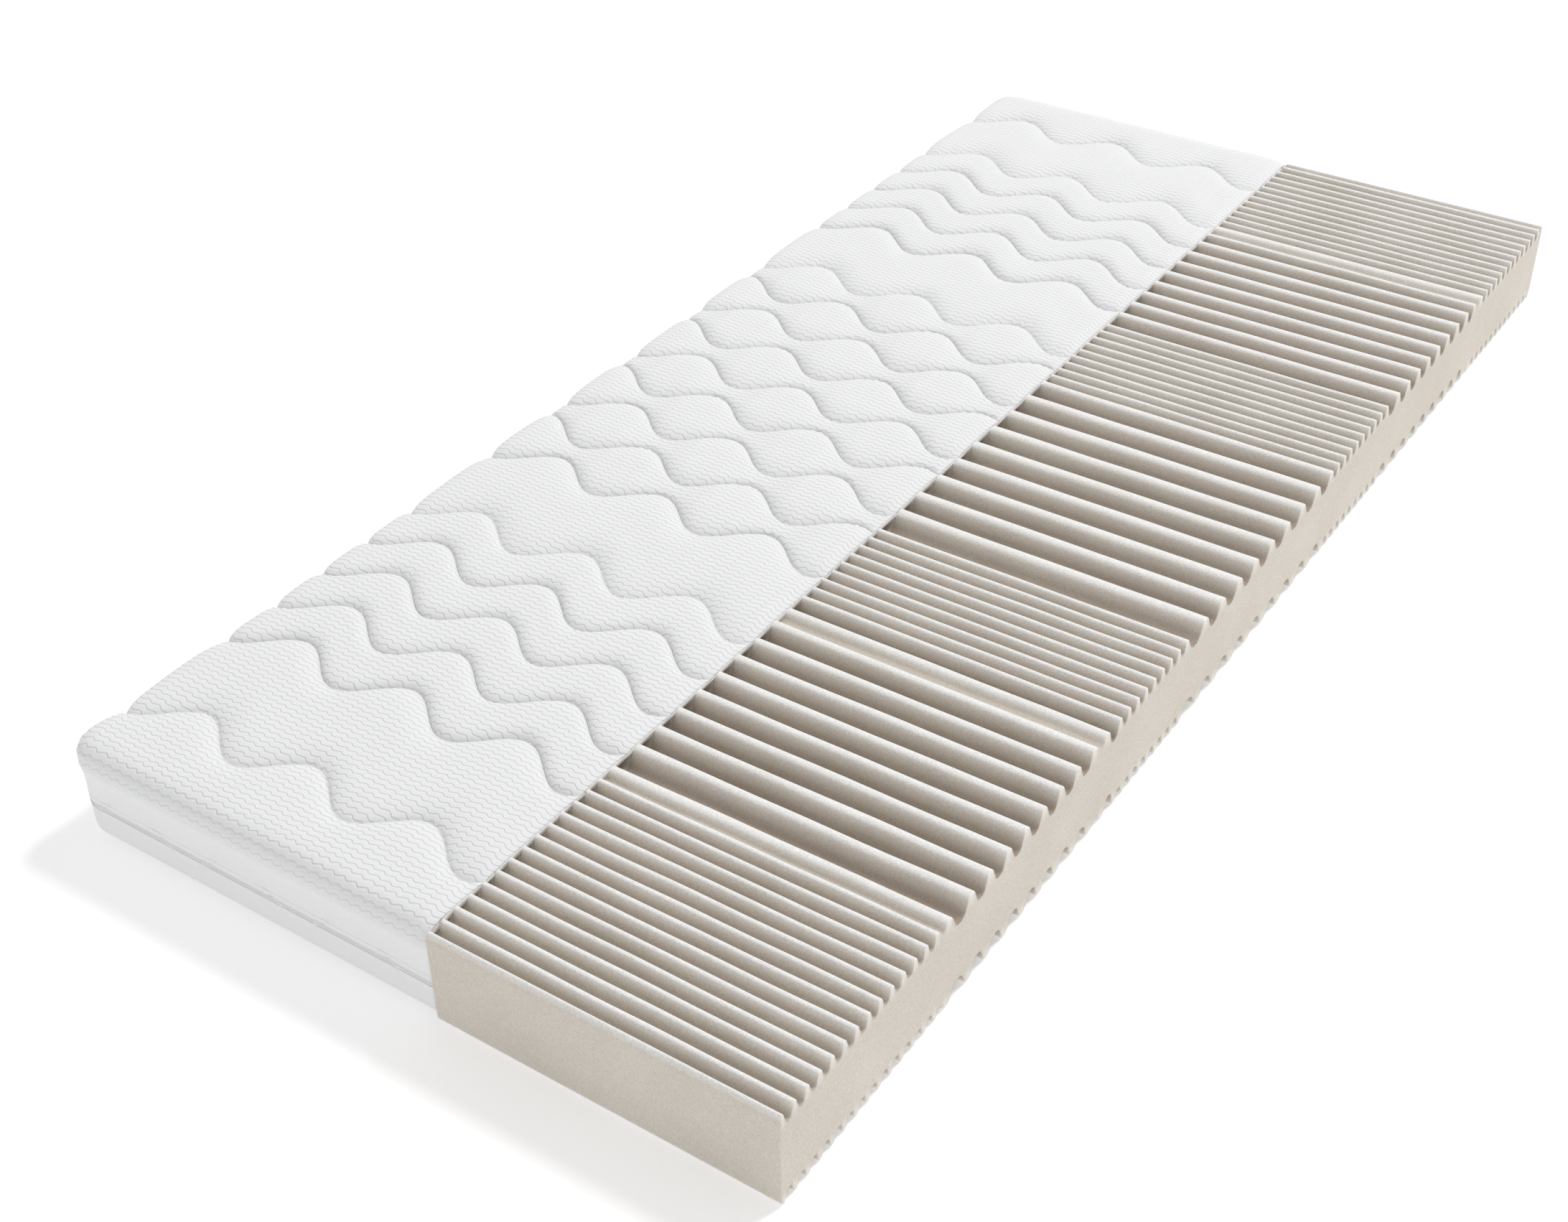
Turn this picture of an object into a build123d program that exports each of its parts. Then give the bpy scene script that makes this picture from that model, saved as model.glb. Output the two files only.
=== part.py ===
"""Seven-zone cut foam mattress with its quilted zip cover taken away over one side.

The covered half lies at -X, the bare ribbed core shows at +X. The long side runs
along Y, Z is up, and the origin is the middle of the underside. Millimetres.
"""
import os
from math import atan2, cos, pi, tan

from build123d import *

# ---------------------------------------------------------------- overall sizes
mattress_length = 2000.0
mattress_width = 900.0
mattress_height = 118.0
cut_x = 50.0                 # where the cover stops, measured from the middle
corner_radius = 35.0         # upright corners of the cover
edge_radius = 20.0           # top and bottom edges of the cover

# ---------------------------------------------------------------- cover layers
fabric_thickness = 0.8
wadding_thickness = 4.0
lining_thickness = 0.4
core_clearance = 0.3         # between the lining and the foam
cut_clearance = 0.5          # between the cover's cut edge and the bare foam

# ---------------------------------------------------------------- foam ribs
core_end_radius = 12.0       # rounded edge of the two end faces
end_rib = 6.0                # width of the rib that closes each end
# groove width, rib width and depth for each kind of cut
fine_cut = (15.0, 5.1, 14.0)
broad_cut = (15.0, 9.5, 9.0)
entry_cut = (32.0, 9.6, 20.0)
wide_cut = (27.0, 9.4, 20.0)
shallow_cut = (20.0, 9.5, 9.0)
narrow_cut = (21.8, 5.8, 20.0)
centre_entry_cut = (39.0, 12.2, 20.0)
centre_cut = (33.0, 12.4, 20.0)
end_cut = (10.0, 6.0, 8.0)
# the cuts in order from the near end, as (how many, which cut)
zone_cuts = (
    (13, fine_cut), (1, broad_cut), (1, entry_cut), (7, wide_cut),
    (1, shallow_cut), (1, narrow_cut), (8, fine_cut),
    (1, centre_entry_cut), (7, centre_cut), (1, entry_cut),
    (9, fine_cut), (1, entry_cut), (7, wide_cut),
    (1, narrow_cut), (1, shallow_cut), (12, fine_cut), (1, end_cut),
)
groove_floor_share = 0.42    # flat part of a groove's floor, before rounding
rounding_share = 0.9         # how much of the room at a corner its arc takes

# ---------------------------------------------------------------- quilting
quilt_pitch = 75.0           # from one stitched wave to the next
quilt_period = 156.0
quilt_amplitude = 22.5
quilt_peak_x = -50.0
quilt_rows = 12              # rows each side of the middle one
plain_rows = (5, 11)         # rows left out, which makes the plain bands
mirrored_rows = (1, 3)       # rows that run against their neighbours
thread_width = 0.6
thread_depth = 0.4

# ---------------------------------------------------------------- zip fastener
zip_height = 50.0            # middle of the zip above the underside
zip_band = 5.0               # opening between the two fabric edges
tape_gap = 1.0               # between the two tapes
tape_thickness = 0.5
tape_seam = 10.0             # how far a tape reaches behind the fabric's edge
coil_width = 1.5
coil_depth = 1.7
stitch_inset = 0.8           # first row of stitches from the fabric's edge
stitch_row_gap = 6.7         # from the first row to the second
slider_length = 14.0
slider_width = 9.0
slider_plate = 1.2
slider_clearance = 0.3
slider_stem = (8.0, 0.4)
slider_y = 880.0             # parked at the closed end
park_length = 26.0           # stretch without the upper tape, where the slider parks
crown_length = 6.0
crown_wall = 1.0
crown_leg = 1.3
crown_width = 2.0
pin_height = 1.0             # middle of the tab's pin above the outer plate
tab_length = 28.0
tab_width = 7.0
tab_thickness = 1.0
tab_window = (3.4, 3.0)
stop_length = 3.0
stop_height = 0.7
stop_clearance = 0.25         # between a stop and the fabric's edge

# ---------------------------------------------------------------- derived places
half_length = mattress_length / 2
half_width = mattress_width / 2
wadding_inset = fabric_thickness
lining_inset = wadding_inset + wadding_thickness
inner_inset = lining_inset + lining_thickness
core_inset = inner_inset + core_clearance
cover_width = half_width + cut_x
upper_fabric_edge = zip_height + zip_band / 2
lower_fabric_edge = zip_height - zip_band / 2
upper_tape_edge = zip_height + tape_gap / 2
lower_tape_edge = zip_height - tape_gap / 2
upper_wadding_edge = upper_fabric_edge + tape_seam
lower_wadding_edge = lower_fabric_edge - tape_seam
coil_inset = fabric_thickness + tape_thickness
core_cut_x = cut_x + cut_clearance


# ---------------------------------------------------------------- shared shapes
def slab(inset):
    """The covered half's rounded block, drawn in by inset from the cover's outer face."""
    with BuildPart() as block:
        with BuildSketch(Plane.XY.offset(inset)):
            with Locations((cut_x, 0)):
                Rectangle(2 * (cover_width - inset), mattress_length - 2 * inset)
            fillet(vertices(), corner_radius - inset)
        extrude(amount=mattress_height - 2 * inset)
        rims = edges().group_by(Axis.Z)
        fillet(rims[0] + rims[-1], edge_radius - inset)
        split(bisect_by=Plane.YZ.offset(cut_x), keep=Keep.BOTTOM)
    return block.part


def layer(outer, inner, bottom, top):
    """The shell between two insets, kept from bottom to top."""
    with BuildPart() as shell:
        add(slab(outer))
        add(slab(inner), mode=Mode.SUBTRACT)
        split(bisect_by=Plane.XY.offset(bottom), keep=Keep.TOP)
        split(bisect_by=Plane.XY.offset(top), keep=Keep.BOTTOM)
    return shell.part


def stitch_row(bottom):
    """One sewn row round the side, flush with the fabric's outer face."""
    return layer(0, thread_depth, bottom, bottom + thread_width)


def wave(row, shift):
    """Points of one stitched wave across the cover, eight to a period."""
    side = -1 if abs(row) in mirrored_rows else 1
    start = -half_width + edge_radius
    steps = round((cut_x - start) / (quilt_period / 8))
    places = [start + (cut_x - start) * i / steps for i in range(steps + 1)]
    swing = side * quilt_amplitude
    return [
        (x, row * quilt_pitch + shift + swing * cos(2 * pi * (x - quilt_peak_x) / quilt_period))
        for x in places
    ]


def quilt_thread(bottom):
    """All the stitched waves of one panel, as separate strips from bottom upwards."""
    with BuildPart() as threads:
        for row in range(-quilt_rows, quilt_rows + 1):
            if abs(row) in plain_rows:
                continue
            with BuildSketch(Plane.XY.offset(bottom)):
                with BuildLine():
                    near = Spline(*wave(row, -thread_width / 2))
                    far = Spline(*wave(row, thread_width / 2))
                    Line(near @ 0, far @ 0)
                    Line(near @ 1, far @ 1)
                make_face()
            extrude(amount=thread_depth)
    return threads.part


def corner_threads(bottom, top):
    """The sewn darts at the cover's two upright corners."""
    reach = corner_radius * (1 - cos(pi / 4))
    with BuildPart() as darts:
        with BuildSketch(Plane.XY.offset(bottom)):
            for end in (-1, 1):
                with Locations((-half_width + reach, end * (half_length - reach))):
                    Circle(thread_width / 2)
        extrude(amount=top - bottom)
    return darts.part


# ---------------------------------------------------------------- foam core
def groove_corners():
    """Corners of every groove as (y, drop below the ribs), from the near end to the far end."""
    cuts = [cut for count, cut in zone_cuts for _ in range(count)]
    widths = sum(groove + rib for groove, rib, _ in cuts) - cuts[-1][1]
    stretch = (mattress_length - 2 * end_rib) / widths
    y = -half_length + end_rib
    corners = []
    for groove, rib, drop in cuts:
        floor = groove * groove_floor_share
        slope = (groove - floor) / 2
        for along, down in ((0, 0), (slope, drop), (slope + floor, drop), (groove, 0)):
            corners.append((y + along * stretch, down))
        y += (groove + rib) * stretch
    return corners


def corner_radii(corners):
    """The largest arc that fits each corner of the row, as a share of the flat beside it."""
    radii = []
    for i, (y, down) in enumerate(corners):
        on_slope_before = i % 4 in (1, 3)
        flank = corners[i - 1] if on_slope_before else corners[i + 1]
        flat = end_rib
        if on_slope_before and i + 1 < len(corners):
            flat = corners[i + 1][0] - y
        if not on_slope_before and i > 0:
            flat = y - corners[i - 1][0]
        turn = atan2(abs(down - flank[1]), abs(y - flank[0]))
        radii.append(rounding_share * flat / 2 / tan(turn / 2))
    return radii


with BuildPart() as foam_core:
    add(slab(core_inset))
    with BuildSketch(Plane.YZ.offset(core_cut_x)):
        with Locations((0, mattress_height / 2)):
            Rectangle(mattress_length, mattress_height)
        fillet(vertices(), core_end_radius)
    extrude(amount=half_width - core_cut_x)
    with BuildSketch(Plane.YZ.offset(cut_x)):
        with Locations((0, mattress_height / 2)):
            Rectangle(mattress_length - 2 * core_inset, mattress_height - 2 * core_inset)
    extrude(amount=cut_clearance)
    row = groove_corners()
    bends = corner_radii(row)
    top_row = [(y, mattress_height - down) for y, down in row]
    under_row = [(y, down) for y, down in reversed(row)]
    with BuildSketch(Plane.YZ.offset(-half_width)):
        with BuildLine():
            upper = FilletPolyline(
                (-half_length, mattress_height), *top_row, (half_length, mattress_height), radius=bends
            )
            under = FilletPolyline(
                (half_length, 0), *under_row, (-half_length, 0), radius=bends[::-1]
            )
            Line(upper @ 1, under @ 0)
            Line(under @ 1, upper @ 0)
        make_face()
    extrude(amount=mattress_width, mode=Mode.INTERSECT)
foam_core.part.label = "foam_core"

# ---------------------------------------------------------------- upper cover
with BuildPart() as upper_quilting_thread:
    add(quilt_thread(mattress_height - thread_depth))
upper_quilting_thread.part.label = "upper_quilting_thread"

with BuildPart() as upper_corner_seams:
    add(corner_threads(upper_fabric_edge + stitch_inset + thread_width + 1, mattress_height - edge_radius))
upper_corner_seams.part.label = "upper_corner_seams"

with BuildPart() as upper_zip_stitching:
    first_row = upper_fabric_edge + stitch_inset
    add(stitch_row(first_row))
    add(stitch_row(first_row + stitch_row_gap))
    add(upper_corner_seams.part, mode=Mode.SUBTRACT)
upper_zip_stitching.part.label = "upper_zip_stitching"

with BuildPart() as upper_cover_fabric:
    add(layer(0, wadding_inset, upper_fabric_edge, mattress_height))
    add(upper_quilting_thread.part, mode=Mode.SUBTRACT)
    add(upper_zip_stitching.part, mode=Mode.SUBTRACT)
    add(upper_corner_seams.part, mode=Mode.SUBTRACT)
upper_cover_fabric.part.label = "upper_cover_fabric"

with BuildPart() as upper_cover_wadding:
    add(layer(wadding_inset, lining_inset, upper_wadding_edge, mattress_height))
upper_cover_wadding.part.label = "upper_cover_wadding"

with BuildPart() as upper_cover_lining:
    add(layer(lining_inset, inner_inset, upper_wadding_edge, mattress_height))
upper_cover_lining.part.label = "upper_cover_lining"

with BuildPart() as slider_park:
    with Locations((-half_width, slider_y, upper_tape_edge + tape_seam)):
        Box(2 * edge_radius, park_length, 2 * tape_seam)

with BuildPart() as upper_zip_tape:
    add(layer(fabric_thickness, coil_inset, upper_tape_edge, upper_wadding_edge))
    add(slider_park.part, mode=Mode.SUBTRACT)
upper_zip_tape.part.label = "upper_zip_tape"

with BuildPart() as upper_zip_coil:
    add(layer(coil_inset, coil_inset + coil_depth, upper_tape_edge, upper_tape_edge + coil_width))
    add(slider_park.part, mode=Mode.SUBTRACT)
upper_zip_coil.part.label = "upper_zip_coil"

# ---------------------------------------------------------------- lower cover
with BuildPart() as lower_quilting_thread:
    add(quilt_thread(0))
lower_quilting_thread.part.label = "lower_quilting_thread"

with BuildPart() as lower_corner_seams:
    add(corner_threads(edge_radius, lower_fabric_edge - stitch_inset - thread_width - 1))
lower_corner_seams.part.label = "lower_corner_seams"

with BuildPart() as lower_zip_stitching:
    add(stitch_row(lower_fabric_edge - stitch_inset - thread_width))
lower_zip_stitching.part.label = "lower_zip_stitching"

with BuildPart() as lower_cover_fabric:
    add(layer(0, wadding_inset, 0, lower_fabric_edge))
    add(lower_quilting_thread.part, mode=Mode.SUBTRACT)
    add(lower_zip_stitching.part, mode=Mode.SUBTRACT)
    add(lower_corner_seams.part, mode=Mode.SUBTRACT)
lower_cover_fabric.part.label = "lower_cover_fabric"

with BuildPart() as lower_cover_wadding:
    add(layer(wadding_inset, lining_inset, 0, lower_wadding_edge))
lower_cover_wadding.part.label = "lower_cover_wadding"

with BuildPart() as lower_cover_lining:
    add(layer(lining_inset, inner_inset, 0, lower_wadding_edge))
lower_cover_lining.part.label = "lower_cover_lining"

with BuildPart() as lower_zip_tape:
    add(layer(fabric_thickness, coil_inset, lower_wadding_edge, lower_tape_edge))
lower_zip_tape.part.label = "lower_zip_tape"

with BuildPart() as lower_zip_coil:
    add(layer(coil_inset, coil_inset + coil_depth, lower_tape_edge - coil_width, lower_tape_edge))
lower_zip_coil.part.label = "lower_zip_coil"

# ---------------------------------------------------------------- zip slider, tab and stops
zip_face = Plane(origin=(-half_width, slider_y, zip_height), x_dir=(0, 1, 0), z_dir=(-1, 0, 0))
inner_plate_face = coil_inset + coil_depth + slider_clearance
outer_plate_face = slider_clearance + slider_plate
pin_out = outer_plate_face + pin_height

with BuildPart() as zip_slider:
    with BuildSketch(zip_face.offset(slider_clearance)):
        RectangleRounded(slider_length, slider_width, slider_width / 4)
    extrude(amount=slider_plate)
    with BuildSketch(zip_face.offset(-inner_plate_face)):
        RectangleRounded(slider_length, slider_width, slider_width / 4)
    extrude(amount=-slider_plate)
    with BuildSketch(zip_face.offset(-inner_plate_face)):
        Rectangle(*slider_stem)
    extrude(amount=inner_plate_face + slider_clearance)
    with BuildSketch(zip_face.offset(outer_plate_face)):
        Rectangle(crown_length, crown_width)
    extrude(amount=2 * pin_height + crown_wall)
    with BuildSketch(zip_face.offset(outer_plate_face)):
        Rectangle(crown_length - 2 * crown_leg, crown_width)
    extrude(amount=2 * pin_height, mode=Mode.SUBTRACT)
zip_slider.part.label = "zip_slider"

with BuildPart() as zip_pull_tab:
    window_length, window_width = tab_window
    tab_end = tab_length - tab_thickness / 2
    with BuildSketch(zip_face.offset(pin_out - tab_thickness / 2)):
        with Locations((-tab_end + tab_length / 2, 0)):
            RectangleRounded(tab_length, tab_width, tab_width / 3)
        with Locations((-tab_thickness / 2 - window_length / 2, 0)):
            Rectangle(window_length, window_width, mode=Mode.SUBTRACT)
    extrude(amount=tab_thickness)
    fillet(edges().filter_by(Axis.Z).sort_by(Axis.Y)[-2:], tab_thickness * 0.4)
zip_pull_tab.part.label = "zip_pull_tab"

stop_y = slider_y + park_length / 2 + stop_length
stop_near = tape_gap / 2 + slider_clearance / 2
stop_width = zip_band / 2 - stop_clearance - stop_near
stop_lift = stop_near + stop_width / 2

with BuildPart() as upper_zip_stop:
    with BuildSketch(zip_face.offset(-fabric_thickness)):
        with Locations((stop_y - slider_y, -stop_lift)):
            Rectangle(stop_length, stop_width)
    extrude(amount=stop_height)
upper_zip_stop.part.label = "upper_zip_stop"

with BuildPart() as lower_zip_stop:
    with BuildSketch(zip_face.offset(-fabric_thickness)):
        with Locations((stop_y - slider_y, stop_lift)):
            Rectangle(stop_length, stop_width)
    extrude(amount=stop_height)
lower_zip_stop.part.label = "lower_zip_stop"

# ---------------------------------------------------------------- write the pieces
pieces = (
    foam_core,
    upper_cover_fabric, upper_cover_wadding, upper_cover_lining, upper_quilting_thread,
    upper_corner_seams, upper_zip_stitching, upper_zip_tape, upper_zip_coil, upper_zip_stop,
    lower_cover_fabric, lower_cover_wadding, lower_cover_lining, lower_quilting_thread,
    lower_corner_seams, lower_zip_stitching, lower_zip_tape, lower_zip_coil, lower_zip_stop,
    zip_slider, zip_pull_tab,
)
os.makedirs("parts", exist_ok=True)
for piece in pieces:
    export_step(piece.part, f"parts/{piece.part.label}.step")
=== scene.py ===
"""Zoned foam mattress with its quilted cover cut away: surfaces, finishes and stage.

Every size is in metres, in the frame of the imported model: X across, Y along, Z up.
"""
import math

import bmesh
import bpy
import numpy as np
from bpy.props import FloatProperty, FloatVectorProperty, PointerProperty
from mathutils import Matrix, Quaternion, Vector


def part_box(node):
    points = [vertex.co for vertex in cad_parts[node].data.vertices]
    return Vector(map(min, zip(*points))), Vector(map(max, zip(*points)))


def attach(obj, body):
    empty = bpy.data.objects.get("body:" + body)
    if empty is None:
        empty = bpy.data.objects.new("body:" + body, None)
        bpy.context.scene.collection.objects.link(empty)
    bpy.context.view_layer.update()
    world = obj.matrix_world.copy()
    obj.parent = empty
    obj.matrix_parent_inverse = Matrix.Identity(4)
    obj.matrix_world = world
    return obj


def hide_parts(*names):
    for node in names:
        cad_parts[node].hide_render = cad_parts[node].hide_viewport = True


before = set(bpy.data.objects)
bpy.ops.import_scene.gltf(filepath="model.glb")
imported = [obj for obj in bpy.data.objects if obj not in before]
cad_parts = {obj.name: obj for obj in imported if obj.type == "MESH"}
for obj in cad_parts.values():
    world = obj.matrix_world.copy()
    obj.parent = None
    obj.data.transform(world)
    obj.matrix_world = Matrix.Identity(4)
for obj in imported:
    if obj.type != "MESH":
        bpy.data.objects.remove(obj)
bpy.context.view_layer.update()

bl_info = {
    "name": "Cutaway Foam Mattress",
    "version": (1, 0, 0),
    "blender": (4, 5, 0),
    "location": "View3D > Sidebar > Mattress",
    "description": "Ribbed foam core, quilted zip cover and studio stage",
    "category": "Object",
}

# ---------------------------------------------------------------- places read from the frame
core_low, core_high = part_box("foam_core")
upper_low, upper_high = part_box("upper_cover_fabric")
lower_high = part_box("lower_cover_fabric")[1]
lining_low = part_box("upper_cover_lining")[0]
wadding_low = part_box("upper_cover_wadding")[0]
HEIGHT = core_high.z
HALF_LENGTH = core_high.y
RIGHT = core_high.x
LEFT = upper_low.x
CUT = upper_high.x
CORE_INSET = core_low.x - LEFT
LAYER_INSETS = (0.0, wadding_low.x - LEFT, lining_low.x - LEFT)

# ---------------------------------------------------------------- how the foam is cut
# groove width, rib width and depth of each kind of cut
CUTS = {
    "fine": (0.0150, 0.0051, 0.014),
    "broad": (0.0150, 0.0095, 0.009),
    "entry": (0.0320, 0.0096, 0.020),
    "wide": (0.0270, 0.0094, 0.020),
    "shallow": (0.0200, 0.0095, 0.009),
    "narrow": (0.0218, 0.0058, 0.020),
    "centre_entry": (0.0390, 0.0122, 0.020),
    "centre": (0.0330, 0.0124, 0.020),
    "end": (0.0100, 0.0060, 0.008),
}
# the cuts from the near end to the far end
ZONES = (
    (13, "fine"), (1, "broad"), (1, "entry"), (7, "wide"), (1, "shallow"), (1, "narrow"),
    (8, "fine"), (1, "centre_entry"), (7, "centre"), (1, "entry"), (9, "fine"), (1, "entry"),
    (7, "wide"), (1, "narrow"), (1, "shallow"), (12, "fine"), (1, "end"),
)
END_RIB = 0.006              # flat top of the first and last rib
FLOOR_SHARE = 0.42           # flat floor of a groove, as a share of its width
ROUNDING = 0.9               # how much of the flat beside a corner its arc uses
END_RADIUS = 0.012           # height of the rounding at the two ends
ARC_STEPS = 5
BODY_SHARE = 0.35            # where the foam's own tone lies between the painted crest highlight and the painted groove shade

# ---------------------------------------------------------------- how the cover is shaped and sewn
CORNER_RADIUS = 0.035        # upright corners
EDGE_RADIUS = 0.020          # edge between panel and border
QUILT_PITCH = 0.075          # from one stitched row to the next
QUILT_PERIOD = 0.156         # length of one stitched wave
QUILT_SWING = 0.0225         # how far a wave leaves its row, to each side
QUILT_PEAK = -0.050          # a place across the panel where the waves turn
PLAIN_ROWS = (5, 11)         # rows left out, counted from the middle
MIRRORED_ROWS = (1, 3)       # rows that swing the other way
LAST_ROW = 12
TUCK_HEIGHT = 0.0594         # middle height of the faint waved crease on the borders
CUT_REACH = 0.0004           # how far the cover's cut edge comes toward the bare foam
STITCH = 0.0034              # length of one stitch
THREAD = 0.00026             # half the thread's width
CAD_THREAD = 0.0003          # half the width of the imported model's thread

# ---------------------------------------------------------------- stage
FLOOR_DROP = 0.0004          # floor below the mattress
FLOOR_HALF = 30.0
KEY_PLACE = Vector((2.6, 6.2, 10.0))
KEY_SIZE = 3.0


# ---------------------------------------------------------------- settings
class FoamSettings(bpy.types.PropertyGroup):
    """Finish of the foam core."""

    tone: FloatVectorProperty(
        name="Foam tone", description="Colour of the cut foam", subtype="COLOR",
        size=3, min=0, max=1, default=(0.66, 0.61, 0.545),
    )
    # painted shade: the foam is painted darker toward the bottom of a deep groove
    painted_groove_shade: FloatVectorProperty(
        name="Painted groove shade", description="Colour of the foam at the bottom of a deep groove",
        subtype="COLOR", size=3, min=0, max=1, default=(0.37, 0.31, 0.255),
    )
    # painted highlight: the foam is painted paler along the tops of the ribs
    painted_crest_highlight: FloatVectorProperty(
        name="Painted crest highlight", description="Colour of the foam along the tops of the ribs",
        subtype="COLOR", size=3, min=0, max=1, default=(0.88, 0.865, 0.84),
    )
    wobble: FloatProperty(
        name="Cut wobble", description="How far the cutting wire wanders along a rib",
        unit="LENGTH", min=0, max=0.003, default=0.0004, precision=5,
    )
    edge_round: FloatProperty(
        name="Rib end rounding", description="Rounding where the ribs meet the side face",
        unit="LENGTH", min=0, max=0.004, default=0.0011, precision=5,
    )


class CoverSettings(bpy.types.PropertyGroup):
    """Shape and finish of the quilted cover."""

    tone: FloatVectorProperty(
        name="Cover tone", description="Colour of the knitted fabric", subtype="COLOR",
        size=3, min=0, max=1, default=(0.86, 0.862, 0.868),
    )
    crown: FloatProperty(
        name="Crown", description="How far a quilted cell stands above its stitches",
        unit="LENGTH", min=0, max=0.02, default=0.0078, precision=5,
    )
    sink: FloatProperty(
        name="Stitch sink", description="How far the stitches pull into the panel",
        unit="LENGTH", min=0, max=0.01, default=0.0028, precision=5,
    )
    crease: FloatProperty(
        name="Stitch crease", description="Depth of the narrow crease right at the stitches",
        unit="LENGTH", min=0, max=0.004, default=0.0016, precision=5,
    )
    pucker: FloatProperty(
        name="Pucker", description="Height of the small gathers along the stitches",
        unit="LENGTH", min=0, max=0.004, default=0.0009, precision=5,
    )
    fullness: FloatProperty(
        name="Fullness", description="How square a quilted cell is between its stitches",
        min=1.5, max=8, default=4.6,
    )
    fabric: FloatProperty(
        name="Fabric thickness", description="Thickness of the knitted fabric",
        unit="LENGTH", min=0.0002, max=0.003, default=0.0008, precision=5,
    )
    row_pitch: FloatProperty(
        name="Knit row pitch", description="From one knitted row to the next",
        unit="LENGTH", min=0.002, max=0.03, default=0.0078, precision=5,
    )
    row_wave: FloatProperty(
        name="Knit wave length", description="Length of one wave in a knitted row",
        unit="LENGTH", min=0.004, max=0.05, default=0.0145, precision=5,
    )


class StageSettings(bpy.types.PropertyGroup):
    """Camera, light and floor."""

    lens: FloatProperty(
        name="Lens", description="Focal length in millimetres", min=10, max=300, default=49.44,
    )
    azimuth: FloatProperty(
        name="Azimuth", description="Camera direction round the mattress in degrees",
        min=-180, max=180, default=34.43,
    )
    elevation: FloatProperty(
        name="Elevation", description="Camera height above the horizon in degrees",
        min=-90, max=90, default=36.48,
    )
    roll: FloatProperty(
        name="Roll", description="Turn of the camera about its own axis in degrees",
        min=-10, max=10, default=0.83,
    )
    place: FloatVectorProperty(
        name="Camera place", description="Where the camera stands", subtype="XYZ",
        unit="LENGTH", size=3, default=(1.1449, -1.9960, 1.5525),
    )
    key: FloatProperty(
        name="Key light", description="Power of the key light in watts", min=0, default=690.0,
    )


# ---------------------------------------------------------------- mesh helpers
def grid_faces(rows, columns, first=0, close_rows=False):
    """Corner numbers of a rows by columns grid of quads; close_rows joins the last row to the first."""
    r = np.arange(rows if close_rows else rows - 1)[:, None]
    c = np.arange(columns - 1)[None, :]
    below, above = r * columns, ((r + 1) % rows) * columns
    quads = np.stack([below + c, below + c + 1, above + c + 1, above + c], axis=-1)
    return quads.reshape(-1, 4) + first


def new_mesh(name, points, quads, uv=None, masks=None, weld=0.0, flat=None):
    """An object from points (n, 3) and quads (m, 4), with optional per-point UV and named masks;
    flat marks the quads that keep their own normal."""
    mesh = bpy.data.meshes.new(name)
    mesh.vertices.add(len(points))
    mesh.vertices.foreach_set("co", np.ascontiguousarray(points, np.float32).ravel())
    mesh.loops.add(quads.size)
    mesh.loops.foreach_set("vertex_index", np.ascontiguousarray(quads, np.int32).ravel())
    mesh.polygons.add(len(quads))
    mesh.polygons.foreach_set("loop_start", np.arange(0, quads.size, 4, dtype=np.int32))
    mesh.polygons.foreach_set("loop_total", np.full(len(quads), 4, np.int32))
    mesh.polygons.foreach_set("use_smooth", np.ones(len(quads), bool) if flat is None else ~flat)
    mesh.update(calc_edges=True)
    if uv is not None:
        layer = mesh.uv_layers.new(name="surface")
        layer.data.foreach_set("uv", uv[quads.ravel()].astype(np.float32).ravel())
    for label, values in (masks or {}).items():
        layer = mesh.attributes.new(label, "FLOAT", "POINT")
        layer.data.foreach_set("value", values.astype(np.float32))
    mesh.validate()
    obj = bpy.data.objects.new(name, mesh)
    bpy.context.scene.collection.objects.link(obj)
    if weld:
        merge_points(obj, weld)
    return obj


def merge_points(obj, distance):
    """Joins points nearer than distance, then turns every face outwards."""
    work = bmesh.new()
    work.from_mesh(obj.data)
    bmesh.ops.remove_doubles(work, verts=work.verts, dist=distance)
    bmesh.ops.dissolve_degenerate(work, dist=distance * 0.5, edges=work.edges)
    bmesh.ops.recalc_face_normals(work, faces=work.faces)
    work.to_mesh(obj.data)
    work.free()


def soft_noise(x, y, scale, seed):
    """Smooth noise from -1 to 1: a sum of eight sine waves in seeded directions about scale long."""
    draw = np.random.default_rng(seed)
    turn = draw.uniform(0, 2 * np.pi, 8)
    size = scale * draw.uniform(0.6, 1.6, 8)
    phase = draw.uniform(0, 2 * np.pi, 8)
    total = 0.0
    for angle, length, start in zip(turn, size, phase):
        total = total + np.sin(2 * np.pi * (x * np.cos(angle) + y * np.sin(angle)) / length + start)
    return total / 4.0


# ---------------------------------------------------------------- foam core
def cut_corners():
    """Corners of the cut line as (y, drop) from the near end: each groove is a trapezoid whose
    floor is a fixed share of its width, and the row is stretched to fill the length."""
    sizes = np.array([CUTS[kind] for _, kind in ZONES])
    sizes = np.repeat(sizes, [count for count, _ in ZONES], axis=0)
    groove, rib, drop = sizes.T
    pitch = groove + rib
    usual = pitch.sum() - rib[-1]
    stretch = (2 * HALF_LENGTH - 2 * END_RIB) / usual
    start = -HALF_LENGTH + END_RIB + (np.cumsum(pitch) - pitch) * stretch
    floor = groove * FLOOR_SHARE
    slope = (groove - floor) / 2
    along = np.stack([np.zeros_like(slope), slope, slope + floor, groove], 1) * stretch
    down = np.stack([np.zeros_like(drop), drop, drop, np.zeros_like(drop)], 1)
    return np.stack([start[:, None] + along, down], -1).reshape(-1, 2)


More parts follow.
